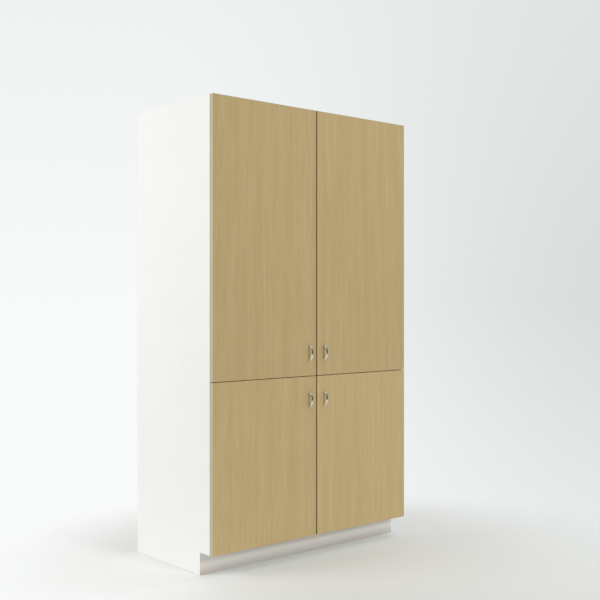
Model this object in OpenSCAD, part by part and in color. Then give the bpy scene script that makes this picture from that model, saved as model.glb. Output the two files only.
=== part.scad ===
// Tall utility cabinet: a white box carcass on a toe kick, with two tall doors over two short ones.
// X runs to the right along the front, Y into the depth and Z up. The origin is on the floor,
// below the middle of the whole cabinet with its pulls. Everything is mirrored about X = 0,
// so each sub-part is drawn for the left half and mirrored for the right one.

/* [Cabinet] */
// Overall width over the side panels
cabinet_w = 1219; // [914:1:1240]
// Overall height from the floor
cabinet_h = 2134; // [1980:1:2300]
// Depth of the carcass without the doors
carcass_d = 608; // [450:1:660]
// Thickness of the carcass boards
board_t = 19; // [16:0.5:21]
// Thickness of the edge banding on carcass and doors
band_t = 1; // [0.5:0.1:2]
// Height of the joint between the upper and the lower doors
split_h = 864; // [800:1:930]

/* [Toe kick] */
// Height of the toe space below the doors
toe_kick_h = 102; // [80:1:130]
// Distance from the carcass front back to the toe kick board
toe_kick_recess = 76; // [50:1:110]

/* [Back] */
// Thickness of the back panel
back_t = 6; // [4:0.5:9]
// Depth of the groove that holds the back panel
back_groove = 8; // [5:0.5:10]
// Play of the back panel in its groove, on each side of it
back_play = 0.1; // [0.05:0.05:0.3]
// Height of each nailer rail behind the back panel
nailer_h = 100; // [70:1:140]
// Distance between the two wall screws, one stud apart
wall_screw_pitch = 406.4; // [300:0.1:610]
// Radius of the wall screw holes
wall_screw_r = 3.5; // [2.5:0.1:5]

/* [Shelves] */
// Thickness of the adjustable shelves
shelf_t = 25; // [19:1:30]
// Distance from the carcass front back to the shelves' front edge
shelf_setback = 20; // [10:1:60]
// Gap between each shelf end and the side panel
shelf_end_gap = 1.5; // [0.5:0.1:3]
// Gap between the shelves and the back panel
shelf_back_gap = 3; // [1:0.5:10]
// Distance between neighbouring shelf pin holes
pin_pitch = 32; // [25:1:40]
// Radius of the shelf pin holes
pin_hole_r = 2.5; // [2:0.1:3.5]
// Depth of the shelf pin holes
pin_hole_depth = 10; // [7:0.5:12]
// Radial play of a shelf pin in its hole
pin_play = 0.05; // [0.02:0.01:0.1]
// Distance of the pin rows from the shelf's front and back edges
pin_row_inset = 50; // [35:1:90]
// Length of shelf pin below the shelf
pin_reach = 8; // [6:0.5:10]

/* [Doors] */
// Thickness of the doors
door_t = 19; // [18:0.5:22]
// Space between the carcass front and the doors' backs, which the bumpers fill
door_gap = 1.5; // [1.5:0.1:3]
// Gap between an upper door and the lower door below it
door_reveal = 3; // [2:0.5:5]
// Gap between the left and the right door of a pair
pair_gap = 6; // [3:0.5:8]
// Distance from the cabinet's outer faces to the door edges
edge_reveal = 1.5; // [1:0.5:2.5]
// Radius of the door bumpers
bumper_r = 3.5; // [2.5:0.1:3.7]

/* [Hinges] */
// Diameter of the hinge cups
cup_dia = 35; // [35:0.5:37]
// Depth of the hinge cups in the door
cup_depth = 13; // [13:0.5:14]
// Wood left between a hinge cup and the door's edge
cup_edge = 4; // [3:0.5:6]
// Wall thickness of the hinge cups
cup_wall = 1.1; // [0.8:0.1:1.4]
// Radial play of a hinge cup in the door's bore
cup_play = 0.1; // [0.05:0.05:0.3]
// Distance from the door's end to the centre of its nearest hinge
hinge_end = 100; // [80:1:120]
// Radius of the hinge pins
hinge_pin_r = 1.5; // [1.2:0.1:1.7]
// Radial play of the hinge pins in their eyes
hinge_play = 0.05; // [0.02:0.01:0.1]
// Width of the hinge link along its pins
link_w = 13; // [10:0.5:14]
// Thickness of the hinge link's strip
link_t = 2.4; // [1.8:0.1:2.6]
// Distance of the mounting plate's screws from the carcass front
plate_line = 37; // [34:1:45]

/* [Pulls] */
// Distance between the two screws of a pull
pull_pitch = 64; // [50:0.1:96]
// How far a pull stands out from the door
pull_reach = 25; // [20:0.5:35]
// Width of a pull's bow
bow_w = 12; // [8:0.5:16]
// Thickness of a pull's bow
bow_t = 6; // [4:0.5:7]
// Height of a pull's posts up to the middle line of the bow's ends
foot_h = 9; // [7:0.5:14]
// Rounding of the posts' noses
foot_ease = 2.5; // [1:0.1:3]
// Distance from the joint between the doors to the nearest pull's centre
pull_to_split = 111; // [90:1:140]
// Distance from the cabinet's middle to the pulls
pull_to_middle = 47; // [35:1:60]

/* [Joinery] */
// Radius of the wooden dowels
dowel_r = 4; // [3:0.5:4]
// Length of the wooden dowels
dowel_l = 30; // [26:1:36]
// Depth of a dowel's hole in the face of a board
dowel_face_depth = 12; // [9:0.5:13]
// Radial play of the dowels
dowel_play = 0.05; // [0.02:0.01:0.1]

/* [Hidden] */
$fn = 48;

// Colours as the photo shows them
white_board = [0.95, 0.95, 0.94];
pale_wood = [0.73, 0.64, 0.47];
edge_wood = [0.78, 0.72, 0.61];
dowel_wood = [0.80, 0.68, 0.48];
nickel = [0.66, 0.65, 0.63];
zinc = [0.75, 0.75, 0.76];
clear_rubber = [0.88, 0.88, 0.86];

// Overhang of a cut past the surface that it opens
cut = 1;

// Places across the width, measured from the middle
outer_x = cabinet_w / 2;
inner_x = outer_x - board_t;

// Places in the depth: the carcass front lies at Y = carcass_front in the cabinet's frame,
// and the sub-parts below are drawn with the carcass front at Y = 0
whole_d = pull_reach + door_t + door_gap + carcass_d;
carcass_front = -whole_d / 2 + pull_reach + door_t + door_gap;
nailer_front = carcass_d - board_t;
back_front = nailer_front - back_t - back_play;

// Heights
bottom_top = toe_kick_h + board_t;
middle_low = split_h - board_t / 2;
middle_top = split_h + board_t / 2;
top_low = cabinet_h - board_t;

// Shelves: their places are counted in pin holes above the board below them
upper_shelves = 4;
lower_shelves = 1;
holes_per_shelf = 5;
tongue_rim = 1.5;
shelf_d = back_front - shelf_back_gap - shelf_setback;
pin_rows = [shelf_setback + pin_row_inset, shelf_setback + shelf_d - pin_row_inset];
function shelf_z(low, high, n, i) =
    low + pin_pitch * round((high - low) * i / (n + 1) / pin_pitch);
shelf_heights = concat(
    [for (i = [1:upper_shelves]) shelf_z(middle_top, top_low, upper_shelves, i)],
    [for (i = [1:lower_shelves]) shelf_z(bottom_top, middle_low, lower_shelves, i)]
);

// Doors
door_w = outer_x - edge_reveal - pair_gap / 2;
door_back = -door_gap;
door_face = door_back - door_t;
// What differs between the levels is kept as [upper, lower]
upper = 0;
lower = 1;
left = false;
right = true;
door_low = [split_h + door_reveal / 2, toe_kick_h];
door_high = [cabinet_h - edge_reveal, split_h - door_reveal / 2];
hinge_heights = [
    [door_low[upper] + hinge_end, (door_low[upper] + door_high[upper]) / 2, door_high[upper] - hinge_end],
    [door_low[lower] + hinge_end, door_high[lower] - hinge_end]
];
all_hinges = concat(hinge_heights[upper], hinge_heights[lower]);

// Hinge: in plan, X from the side panel's outer face and Y from the carcass front
cup_x = edge_reveal + cup_edge + cup_dia / 2;
cup_inner_r = cup_dia / 2 - cup_wall;
cup_floor = 1;
flange_t = 1;
flange_lip = 2;
flange_r = cup_dia / 2 + flange_lip;
pocket_play = 0.3;
pocket_w = link_w + 2 * pocket_play;
eye_wall = 1.2;
eye_r = hinge_pin_r + eye_wall;
eye_to_wall = 0.5;
cup_pivot_depth = 3.5;
cup_pivot_x = cup_x - sqrt(pow(cup_inner_r, 2) - pow(pocket_w / 2, 2)) + eye_r + eye_to_wall;
cup_pivot_y = door_back - cup_pivot_depth;
arm_pivot_to_cup = 13;
arm_pivot_x = cup_x + arm_pivot_to_cup;
arm_pivot_y = 4;
knee_step = [4.4, -6.4];
cup_pin_l = 20;
cup_screw_offset = 6;
cup_screw_half = 24;
cup_screw_r = 1.75;
cup_screw_l = 11;
cup_screw_head_r = 3.8;
cup_screw_head_t = 1.8;
cup_screw_play = 0.05;
wing_tip = 6;
wing_half = cup_screw_half + wing_tip;
wing_w = 13;
arm_sheet_t = 1.5;
arm_w = pocket_w + 2 * arm_sheet_t;
nose_wall = 1.1;
arm_nose_r = eye_r + nose_wall;
web_gap = 0.8;
arm_web_x = arm_pivot_x + eye_r + web_gap;
web_before_pivot = 2;
cheek_to_cup = 1;
arm_low_x = cup_x + cheek_to_cup;
neck_to_eye = 1;
arm_back = 62;
ridge_front = 24;
ridge_back = 60;
plate_t = 3;
wing_plate_half = 22;
wing_plate_w = 18;
plate_screw_half = 16;
plate_screw_r = 2.4;
plate_screw_l = 14;
plate_screw_head_r = 4;
plate_screw_head_t = 2;
plate_screw_play = 0.05;

// Pulls
foot_rim = 0.4;
foot_r = bow_w / 2 + foot_rim;
foot_top = foot_h + bow_t / 2 + foot_rim;
bow_rise = pull_reach - bow_t / 2 - foot_h;
bow_r = (pow(pull_pitch / 2, 2) + pow(bow_rise, 2)) / (2 * bow_rise);
bow_half_angle = asin(pull_pitch / 2 / bow_r);
bow_centre_y = -(foot_h + bow_rise - bow_r);
pull_screw_r = 2;
pull_screw_play = 0.05;
pull_screw_bite = 6;
pull_screw_head_r = 3.75;
pull_screw_head_t = 2.4;
pull_z = [split_h + pull_to_split, split_h - pull_to_split];

// Bumpers and dowels
bumper_x = 30;
bumper_heights = [
    toe_kick_h + board_t / 2, (door_high[lower] + middle_low) / 2,
    (door_low[upper] + middle_top) / 2, (door_high[upper] + top_low) / 2
];
dowel_count = 4;
dowel_inset = 60;
rail_dowel_inset = 25;
dowel_end_gap = 0.5;
dowel_end_depth = dowel_l - dowel_face_depth + dowel_end_gap;

// Carries what is drawn from the carcass front into the cabinet's frame
module in_cabinet() {
    translate([0, carcass_front, 0]) children();
}

// Shows a left sub-part, or its mirror image on the right
module on_side(side) {
    if (side == right) {
        mirror([1, 0, 0]) in_cabinet() children();
    } else {
        in_cabinet() children();
    }
}

// Draws the children on the left and mirrored on the right
module on_both_sides() {
    on_side(left) children();
    on_side(right) children();
}

// A round hole or peg along X, starting at x and running to the right for length l
module x_rod(x, y, z, r, l) {
    translate([x, y, z]) rotate([0, 90, 0]) cylinder(h = l, r = r);
}

// A round hole or peg along Y, starting at y and running to the back for length l
module y_rod(x, y, z, r, l) {
    translate([x, y, z]) rotate([-90, 0, 0]) cylinder(h = l, r = r);
}

// Dowel places at the end of a full-depth board, as distances from the carcass front
function board_dowels(d) = [
    for (i = [0:dowel_count - 1]) dowel_inset + i * (d - 2 * dowel_inset) / (dowel_count - 1)
];

// All dowels of the left side: each entry is [y, z]
full_board_d = back_front - dowel_r;
wide_dowels = [
    for (z = [bottom_top - board_t / 2, split_h, top_low + board_t / 2])
        for (y = board_dowels(full_board_d)) [y, z]
];
nailer_heights = [top_low - nailer_h, middle_low - nailer_h, bottom_top];
nailer_dowels = [
    for (low = nailer_heights)
        for (z = [low + rail_dowel_inset, low + nailer_h - rail_dowel_inset])
            [carcass_d - board_t / 2, z]
];
base_dowels = [
    for (y = [toe_kick_recess + board_t / 2, carcass_d - board_t / 2])
        for (z = [rail_dowel_inset, toe_kick_h - rail_dowel_inset]) [y, z]
];
left_dowels = concat(wide_dowels, nailer_dowels, base_dowels);

// Holes for the dowels, in the side panel and in the ends of the boards that it holds
module dowel_holes() {
    for (p = left_dowels) {
        x_rod(-inner_x - dowel_face_depth, p[0], p[1], dowel_r + dowel_play,
            dowel_face_depth + dowel_end_depth);
    }
}

// A board between the side panels, drilled at both ends
module drilled_board(y, z, d, h) {
    difference() {
        translate([-inner_x, y, z]) cube([2 * inner_x, d, h]);
        dowel_holes();
        mirror([1, 0, 0]) dowel_holes();
    }
}

// The groove for the back panel, cut into what it runs through
module back_groove_cut() {
    translate([-inner_x - back_groove, back_front - back_play, bottom_top - back_groove])
        cube([2 * (inner_x + back_groove), back_t + 2 * back_play,
            top_low - bottom_top + 2 * back_groove]);
}

// Wall screw holes through a nailer and the back panel
module wall_screw_holes(low) {
    for (s = [-1, 1]) {
        y_rod(s * wall_screw_pitch / 2, back_front - cut, low + nailer_h / 2, wall_screw_r,
            back_t + back_play + board_t + 2 * cut);
    }
}

// Side panel on the left, with its toe notch, shelf pin holes and hinge plate screw holes
module side_panel() {
    difference() {
        translate([-outer_x, band_t, 0]) cube([board_t, carcass_d - band_t, cabinet_h]);
        translate([-outer_x - cut, band_t - cut, -cut])
            cube([board_t + 2 * cut, toe_kick_recess - band_t + cut, toe_kick_h + cut]);
        back_groove_cut();
        dowel_holes();
        for (z = shelf_heights) {
            for (i = [0:holes_per_shelf - 1]) {
                for (y = pin_rows) {
                    x_rod(-inner_x - pin_hole_depth, y,
                        z - pin_hole_r + (i - (holes_per_shelf - 1) / 2) * pin_pitch,
                        pin_hole_r, pin_hole_depth + cut);
                }
            }
        }
        for (z = all_hinges) {
            for (s = [-1, 1]) {
                x_rod(-inner_x + plate_t - plate_screw_l, plate_line, z + s * plate_screw_half,
                    plate_screw_r + plate_screw_play, plate_screw_l + cut);
            }
        }
    }
}

module left_side_panel() {
    color(white_board) on_side(left) side_panel();
}

module right_side_panel() {
    color(white_board) on_side(right) side_panel();
}

module top_panel() {
    color(white_board) in_cabinet() difference() {
        drilled_board(band_t, top_low, carcass_d - band_t, board_t);
        back_groove_cut();
    }
}

module bottom_panel() {
    color(white_board) in_cabinet() difference() {
        drilled_board(band_t, toe_kick_h, carcass_d - band_t, board_t);
        back_groove_cut();
    }
}

module fixed_middle_shelf() {
    color(white_board) in_cabinet() drilled_board(band_t, middle_low, back_front - band_t, board_t);
}

module back_panel() {
    half_w = inner_x + back_groove - back_play;
    low = bottom_top - back_groove;
    color(white_board) in_cabinet() difference() {
        translate([-half_w, back_front, low])
            cube([2 * half_w, back_t, top_low + back_groove - back_play - low]);
        wall_screw_holes(nailer_heights[0]);
        wall_screw_holes(nailer_heights[1]);
    }
}

module nailer(low) {
    drilled_board(nailer_front, low, board_t, nailer_h);
}

module top_nailer() {
    color(white_board) in_cabinet() difference() {
        nailer(nailer_heights[0]);
        wall_screw_holes(nailer_heights[0]);
    }
}

module middle_nailer() {
    color(white_board) in_cabinet() difference() {
        nailer(nailer_heights[1]);
        wall_screw_holes(nailer_heights[1]);
    }
}

module bottom_nailer() {
    color(white_board) in_cabinet() nailer(nailer_heights[2]);
}

module toe_kick_board() {
    color(white_board) in_cabinet() drilled_board(toe_kick_recess, 0, board_t, toe_kick_h);
}

module rear_base_rail() {
    color(white_board) in_cabinet() drilled_board(carcass_d - board_t, 0, board_t, toe_kick_h);
}

// Board below the bottom panel's middle, from the toe kick to the rear rail
module base_stretcher() {
    start = toe_kick_recess + board_t;
    color(white_board) in_cabinet() translate([-board_t / 2, start, 0])
        cube([board_t, carcass_d - board_t - start, toe_kick_h]);
}

module adjustable_shelf(number) {
    half_w = inner_x - shelf_end_gap;
    color(white_board) in_cabinet() translate([-half_w, shelf_setback, shelf_heights[number - 1]])
        cube([2 * half_w, shelf_d, shelf_t]);
}

// A pin with a flat-topped tongue that carries the shelf
module shelf_pin(y, z) {
    r = pin_hole_r - pin_play;
    x_rod(-inner_x - pin_hole_depth + cut, y, z - pin_hole_r, r, pin_hole_depth - cut + pin_reach);
    difference() {
        x_rod(-inner_x, y, z - pin_hole_r, pin_hole_r + tongue_rim, shelf_end_gap + pin_reach);
        translate([-inner_x - cut, y - 2 * pin_hole_r, z])
            cube([shelf_end_gap + pin_reach + 2 * cut, 4 * pin_hole_r, 2 * pin_hole_r]);
    }
}

module shelf_pins() {
    color(zinc) on_both_sides() {
        for (z = shelf_heights) {
            for (y = pin_rows) {
                shelf_pin(y, z);
            }
        }
    }
}

// Banding on the front edges of the side panels and of the boards between them
module carcass_edge_band() {
    color(white_board) {
        on_both_sides() translate([-outer_x, 0, toe_kick_h])
            cube([board_t, band_t, cabinet_h - toe_kick_h]);
        in_cabinet() {
            for (z = [toe_kick_h, middle_low, top_low]) {
                translate([-inner_x, 0, z]) cube([2 * inner_x, band_t, board_t]);
            }
        }
    }
}

// Clear discs that the doors close against
module door_bumpers() {
    color(clear_rubber) on_both_sides() {
        for (z = bumper_heights) {
            y_rod(-bumper_x, -door_gap, z, bumper_r, door_gap);
        }
    }
}

module joint_dowels() {
    color(dowel_wood) on_both_sides() {
        for (p = left_dowels) {
            x_rod(-inner_x - dowel_face_depth, p[0], p[1], dowel_r, dowel_l);
        }
    }
}

// Puts the children at a hinge: X from the side panel's outer face and Z from the hinge's middle
module at_hinges(heights) {
    for (z = heights) {
        translate([-outer_x, 0, z]) children();
    }
}

// An upright prism over a plan outline, centred on the hinge's height
module upright(h) {
    linear_extrude(height = h, center = true) children();
}

// A straight strip in plan from p to q
module strip(p, q, w) {
    d = q - p;
    translate(p) rotate(atan2(d[1], d[0])) translate([0, -w / 2]) square([norm(d), w]);
}

// Mounting plate: a winged base on the side panel and the ridge that the arm sits on
module hinge_plate() {
    difference() {
        union() {
            translate([board_t, plate_line - wing_plate_w / 2, -wing_plate_half])
                cube([plate_t, wing_plate_w, 2 * wing_plate_half]);
            translate([board_t, ridge_front, -link_w / 2])
                cube([arm_web_x - board_t, ridge_back - ridge_front, link_w]);
        }
        for (s = [-1, 1]) {
            x_rod(board_t - cut, plate_line, s * plate_screw_half,
                plate_screw_r + plate_screw_play, plate_t + 2 * cut);
        }
    }
}

module hinge_plates() {
    color(zinc) on_both_sides() at_hinges(all_hinges) hinge_plate();
}

module hinge_plate_screws() {
    color(zinc) on_both_sides() at_hinges(all_hinges) {
        for (s = [-1, 1]) {
            x_rod(board_t + plate_t - plate_screw_l + cut, plate_line, s * plate_screw_half,
                plate_screw_r, plate_screw_l - cut);
            x_rod(board_t + plate_t, plate_line, s * plate_screw_half,
                plate_screw_head_r, plate_screw_head_t);
        }
    }
}

// Arm: a channel over the ridge, with two cheeks that hold the link's pin at its nose
module hinge_arm() {
    neck_y = arm_pivot_y + eye_r + neck_to_eye;
    web_y = arm_pivot_y - web_before_pivot;
    web_edge_x = arm_web_x + arm_sheet_t;
    difference() {
        upright(arm_w) {
            translate([arm_pivot_x, arm_pivot_y]) circle(r = arm_nose_r);
            translate([arm_pivot_x - arm_nose_r, arm_pivot_y])
                square([2 * arm_nose_r, neck_y - arm_pivot_y]);
            translate([arm_pivot_x, web_y]) square([web_edge_x - arm_pivot_x, neck_y - web_y]);
            translate([arm_low_x, neck_y]) square([web_edge_x - arm_low_x, arm_back - neck_y]);
        }
        translate([arm_low_x - cut, arm_pivot_y - 2 * arm_nose_r, -pocket_w / 2])
            cube([arm_web_x - arm_low_x + cut, arm_back + 2 * arm_nose_r, pocket_w]);
        translate([arm_pivot_x, arm_pivot_y, -arm_w])
            cylinder(h = 2 * arm_w, r = hinge_pin_r + hinge_play);
    }
}

module hinge_arms() {
    color(zinc) on_both_sides() at_hinges(all_hinges) hinge_arm();
}

module arm_pins() {
    color(zinc) on_both_sides() at_hinges(all_hinges)
        translate([arm_pivot_x, arm_pivot_y, -arm_w / 2]) cylinder(h = arm_w, r = hinge_pin_r);
}

// Link: a bent strip with an eye at each end, between the arm's pin and the cup's pin
module hinge_link() {
    a = [arm_pivot_x, arm_pivot_y];
    b = [cup_pivot_x, cup_pivot_y];
    knee = b + knee_step;
    upright(link_w) difference() {
        union() {
            translate(a) circle(r = eye_r);
            translate(b) circle(r = eye_r);
            translate(knee) circle(r = link_t / 2);
            strip(b, knee, link_t);
            strip(knee, a, link_t);
        }
        translate(a) circle(r = hinge_pin_r + hinge_play);
        translate(b) circle(r = hinge_pin_r + hinge_play);
    }
}

module hinge_links(side, level) {
    color(zinc) on_side(side) at_hinges(hinge_heights[level]) hinge_link();
}

// Cup: a disc sunk into the door, with a pocket for the link and a winged flange
module hinge_cup() {
    difference() {
        union() {
            translate([cup_x, door_back - cup_depth, 0]) rotate([-90, 0, 0])
                cylinder(h = cup_depth, d = cup_dia);
            translate([cup_x, door_back, 0]) rotate([-90, 0, 0])
                cylinder(h = flange_t, r = flange_r);
            translate([cup_x + cup_screw_offset - wing_w / 2, door_back, -wing_half])
                cube([wing_w, flange_t, 2 * wing_half]);
        }
        intersection() {
            translate([cup_x, door_back - cup_depth + cup_floor, 0]) rotate([-90, 0, 0])
                cylinder(h = cup_depth + flange_t, r = cup_inner_r);
            translate([cup_x - cup_dia, door_back - cup_depth, -pocket_w / 2])
                cube([2 * cup_dia, cup_depth + flange_t + cut, pocket_w]);
        }
        translate([cup_pivot_x, cup_pivot_y, -cup_pin_l / 2 - pocket_play])
            cylinder(h = cup_pin_l + 2 * pocket_play, r = hinge_pin_r + hinge_play);
        for (s = [-1, 1]) {
            y_rod(cup_x + cup_screw_offset, door_back - cut, s * cup_screw_half,
                cup_screw_r + cup_screw_play, flange_t + 2 * cut);
        }
    }
}

module hinge_cups(side, level) {
    color(zinc) on_side(side) at_hinges(hinge_heights[level]) hinge_cup();
}

module cup_pins(side, level) {
    color(zinc) on_side(side) at_hinges(hinge_heights[level])
        translate([cup_pivot_x, cup_pivot_y, -cup_pin_l / 2])
            cylinder(h = cup_pin_l, r = hinge_pin_r);
}

module cup_screws(side, level) {
    color(zinc) on_side(side) at_hinges(hinge_heights[level]) {
        for (s = [-1, 1]) {
            y_rod(cup_x + cup_screw_offset, door_back - cup_screw_l + cut, s * cup_screw_half,
                cup_screw_r, cup_screw_l - cut + flange_t);
            y_rod(cup_x + cup_screw_offset, door_back + flange_t, s * cup_screw_half,
                cup_screw_head_r, cup_screw_head_t);
        }
    }
}

// Door board inside its banding, bored for its hinge cups and its pull
module door(side, level) {
    h = door_high[level] - door_low[level];
    color(pale_wood) on_side(side) difference() {
        translate([-outer_x + edge_reveal + band_t, door_face, door_low[level] + band_t])
            cube([door_w - 2 * band_t, door_t, h - 2 * band_t]);
        at_hinges(hinge_heights[level]) {
            translate([cup_x, door_back - cup_depth, 0]) rotate([-90, 0, 0])
                cylinder(h = cup_depth + cut, r = cup_dia / 2 + cup_play);
            for (s = [-1, 1]) {
                y_rod(cup_x + cup_screw_offset, door_back - cup_screw_l, s * cup_screw_half,
                    cup_screw_r + cup_screw_play, cup_screw_l + cut);
            }
        }
        for (s = [-1, 1]) {
            y_rod(-pull_to_middle, door_face - cut, pull_z[level] + s * pull_pitch / 2,
                pull_screw_r + pull_screw_play, door_t + 2 * cut);
        }
    }
}

// Banding around the four edges of a door
module edge_band(side, level) {
    h = door_high[level] - door_low[level];
    color(edge_wood) on_side(side)
        translate([-outer_x + edge_reveal, door_face, door_low[level]]) difference() {
            cube([door_w, door_t, h]);
            translate([band_t, -cut, band_t])
                cube([door_w - 2 * band_t, door_t + 2 * cut, h - 2 * band_t]);
        }
}

// Rounded strip section of the bow, wide along X and thin along the bow's radius
module bow_section() {
    square([bow_t, bow_w - bow_t], center = true);
    for (s = [-1, 1]) {
        translate([0, s * (bow_w - bow_t) / 2]) circle(r = bow_t / 2);
    }
}

// Round-nosed post at a pull's end, standing out from the door
module pull_foot() {
    rotate([90, 0, 0]) rotate_extrude() {
        square([foot_r, foot_top - foot_ease]);
        square([foot_r - foot_ease, foot_top]);
        translate([foot_r - foot_ease, foot_top - foot_ease]) circle(r = foot_ease);
    }
}

// Bow pull: a flat arch on two round posts, drilled from behind for its screws
module pull(side, level) {
    color(nickel) on_side(side) translate([-pull_to_middle, door_face, pull_z[level]]) difference() {
        union() {
            translate([0, bow_centre_y, 0]) rotate([0, 90, 0]) rotate([0, 0, -90])
                rotate([0, 0, -bow_half_angle])
                    rotate_extrude(angle = 2 * bow_half_angle, $fn = 96)
                        translate([bow_r, 0]) bow_section();
            for (s = [-1, 1]) {
                translate([0, 0, s * pull_pitch / 2]) pull_foot();
            }
        }
        for (s = [-1, 1]) {
            y_rod(0, -pull_screw_bite, s * pull_pitch / 2, pull_screw_r + pull_screw_play,
                pull_screw_bite + cut);
        }
    }
}

module pull_screws(side, level) {
    color(zinc) on_side(side) translate([-pull_to_middle, 0, pull_z[level]]) {
        for (s = [-1, 1]) {
            y_rod(0, door_face - pull_screw_bite + cut, s * pull_pitch / 2, pull_screw_r,
                door_t + pull_screw_bite - cut);
            y_rod(0, door_back, s * pull_pitch / 2, pull_screw_head_r, pull_screw_head_t);
        }
    }
}

left_side_panel();
right_side_panel();
top_panel();
bottom_panel();
fixed_middle_shelf();
back_panel();
top_nailer();
middle_nailer();
bottom_nailer();
toe_kick_board();
rear_base_rail();
base_stretcher();
adjustable_shelf(1);  // adjustable_shelf_1
adjustable_shelf(2);  // adjustable_shelf_2
adjustable_shelf(3);  // adjustable_shelf_3
adjustable_shelf(4);  // adjustable_shelf_4
adjustable_shelf(5);  // adjustable_shelf_5
shelf_pins();
carcass_edge_band();
door_bumpers();
joint_dowels();
hinge_plates();
hinge_arms();
arm_pins();
hinge_plate_screws();

door(left, upper);  // upper_left_door
edge_band(left, upper);  // upper_left_edge_band
pull(left, upper);  // upper_left_pull
pull_screws(left, upper);  // upper_left_pull_screws
hinge_cups(left, upper);  // upper_left_hinge_cups
cup_pins(left, upper);  // upper_left_cup_pins
cup_screws(left, upper);  // upper_left_cup_screws
hinge_links(left, upper);  // upper_left_hinge_links

door(right, upper);  // upper_right_door
edge_band(right, upper);  // upper_right_edge_band
pull(right, upper);  // upper_right_pull
pull_screws(right, upper);  // upper_right_pull_screws
hinge_cups(right, upper);  // upper_right_hinge_cups
cup_pins(right, upper);  // upper_right_cup_pins
cup_screws(right, upper);  // upper_right_cup_screws
hinge_links(right, upper);  // upper_right_hinge_links

door(left, lower);  // lower_left_door
edge_band(left, lower);  // lower_left_edge_band
pull(left, lower);  // lower_left_pull
pull_screws(left, lower);  // lower_left_pull_screws
hinge_cups(left, lower);  // lower_left_hinge_cups
cup_pins(left, lower);  // lower_left_cup_pins
cup_screws(left, lower);  // lower_left_cup_screws
hinge_links(left, lower);  // lower_left_hinge_links

door(right, lower);  // lower_right_door
edge_band(right, lower);  // lower_right_edge_band
pull(right, lower);  // lower_right_pull
pull_screws(right, lower);  // lower_right_pull_screws
hinge_cups(right, lower);  // lower_right_hinge_cups
cup_pins(right, lower);  // lower_right_cup_pins
cup_screws(right, lower);  // lower_right_cup_screws
hinge_links(right, lower);  // lower_right_hinge_links
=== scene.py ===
import math

import bmesh
import bpy
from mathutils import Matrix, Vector


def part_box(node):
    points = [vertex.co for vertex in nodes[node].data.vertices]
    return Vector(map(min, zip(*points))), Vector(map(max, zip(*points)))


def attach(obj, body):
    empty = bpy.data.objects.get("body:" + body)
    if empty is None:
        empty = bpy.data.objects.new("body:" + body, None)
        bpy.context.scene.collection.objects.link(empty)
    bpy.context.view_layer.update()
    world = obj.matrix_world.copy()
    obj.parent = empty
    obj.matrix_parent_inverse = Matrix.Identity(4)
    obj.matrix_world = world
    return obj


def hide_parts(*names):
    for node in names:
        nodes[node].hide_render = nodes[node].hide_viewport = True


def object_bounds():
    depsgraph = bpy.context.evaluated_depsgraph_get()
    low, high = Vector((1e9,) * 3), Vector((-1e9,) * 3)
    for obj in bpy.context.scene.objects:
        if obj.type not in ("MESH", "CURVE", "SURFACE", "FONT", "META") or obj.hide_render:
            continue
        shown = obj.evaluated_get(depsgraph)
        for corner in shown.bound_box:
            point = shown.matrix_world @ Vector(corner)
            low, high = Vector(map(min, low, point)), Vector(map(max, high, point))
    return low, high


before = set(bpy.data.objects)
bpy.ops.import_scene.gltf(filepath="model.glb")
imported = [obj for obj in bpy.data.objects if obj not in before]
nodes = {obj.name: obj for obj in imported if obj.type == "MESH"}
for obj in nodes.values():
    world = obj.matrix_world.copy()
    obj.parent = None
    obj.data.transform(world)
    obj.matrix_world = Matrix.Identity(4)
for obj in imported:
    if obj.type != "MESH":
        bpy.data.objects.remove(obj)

cadLow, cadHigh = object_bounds()
doorTags = [f"{level}_{side}" for level in ("upper", "lower") for side in ("left", "right")]
print("frame loaded:", len(nodes), "nodes")


# Small helpers for node trees

def fill(tree, socket, value):
    if isinstance(value, bpy.types.NodeSocket):
        tree.links.new(value, socket)
    else:
        socket.default_value = value


def addNode(tree, kind, inputs=None, **settings):
    node = tree.nodes.new(kind)
    for key, value in settings.items():
        setattr(node, key, value)
    for key, value in (inputs or {}).items():
        fill(tree, node.inputs[key], value)
    return node


def maths(tree, operation, first, second=0.0):
    return addNode(tree, "ShaderNodeMath", {0: first, 1: second}, operation=operation).outputs[0]


def vectorMaths(tree, operation, first, second=(0, 0, 0)):
    return addNode(tree, "ShaderNodeVectorMath", {0: first, 1: second}, operation=operation).outputs[0]


def dotProduct(tree, vector, direction):
    return addNode(tree, "ShaderNodeVectorMath", {0: vector, 1: direction}, operation="DOT_PRODUCT").outputs["Value"]


def objectPlace(tree):
    return addNode(tree, "ShaderNodeTexCoord").outputs["Object"]


def splitXyz(tree, vector):
    return addNode(tree, "ShaderNodeSeparateXYZ", {0: vector}).outputs


def joinXyz(tree, x, y, z):
    return addNode(tree, "ShaderNodeCombineXYZ", {0: x, 1: y, 2: z}).outputs[0]


def mapRange(tree, value, fromLow, fromHigh, toLow, toHigh):
    return addNode(tree, "ShaderNodeMapRange", {
        "Value": value, "From Min": fromLow, "From Max": fromHigh, "To Min": toLow, "To Max": toHigh,
    }, interpolation_type="SMOOTHSTEP").outputs["Result"]


def mixColour(tree, factor, first, second, blend="MIX"):
    node = addNode(tree, "ShaderNodeMix", data_type="RGBA", blend_type=blend)
    fill(tree, node.inputs[0], factor)
    fill(tree, node.inputs[6], first)
    fill(tree, node.inputs[7], second)
    return node.outputs[2]


def weighted(tree, first, second, share):
    # share of the first value, the rest of the second
    return maths(tree, "ADD", maths(tree, "MULTIPLY", first, share), maths(tree, "MULTIPLY", second, 1.0 - share))


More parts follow.
